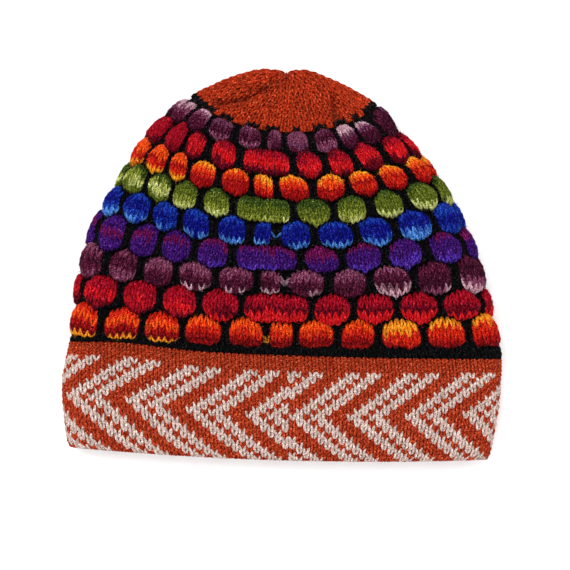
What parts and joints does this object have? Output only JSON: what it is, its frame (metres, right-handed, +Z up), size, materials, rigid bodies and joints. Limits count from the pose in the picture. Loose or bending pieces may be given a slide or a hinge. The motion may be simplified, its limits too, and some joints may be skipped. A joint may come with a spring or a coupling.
{
  "type": "alpaca beanie",
  "caption": "Hand-knitted beanie, folded flat: chevron band, rounds of puff stitch in dyed yarns on black, and a gathered crown. Hollow, and open at the hem.",
  "frame": {"origin": "on the surface that the hat lies on, under the middle of its box", "axes": "+X across the hat from fold to fold, +Y from the hem to the crown, +Z up from the surface"},
  "size_m": [0.2336, 0.2072, 0.0511],
  "materials": {
    "rust_yarn": "matte alpaca wool in stocking stitch, rust orange, with cream chevrons on the band",
    "gold_red_yarn": "space-dyed alpaca wool, gold and orange into red",
    "crimson_yarn": "space-dyed alpaca wool, crimson into bright red",
    "plum_yarn": "space-dyed alpaca wool, dark plum into pale pink",
    "violet_yarn": "space-dyed alpaca wool, magenta into violet",
    "royal_blue_yarn": "space-dyed alpaca wool, royal blue into light blue",
    "green_yarn": "space-dyed alpaca wool, dark green into lime",
    "mauve_yarn": "space-dyed alpaca wool, plum into pale mauve"
  },
  "bodies": {
    "root": {"band": "rust_yarn", "puff_row_1": "gold_red_yarn", "puff_row_2": "crimson_yarn", "puff_row_3": "plum_yarn", "puff_row_4": "violet_yarn", "puff_row_5": "royal_blue_yarn", "puff_row_6": "green_yarn", "puff_row_7": "gold_red_yarn", "puff_row_8": "crimson_yarn", "puff_row_9": "mauve_yarn", "crown_top": "rust_yarn"}
  },
  "joints": []
}
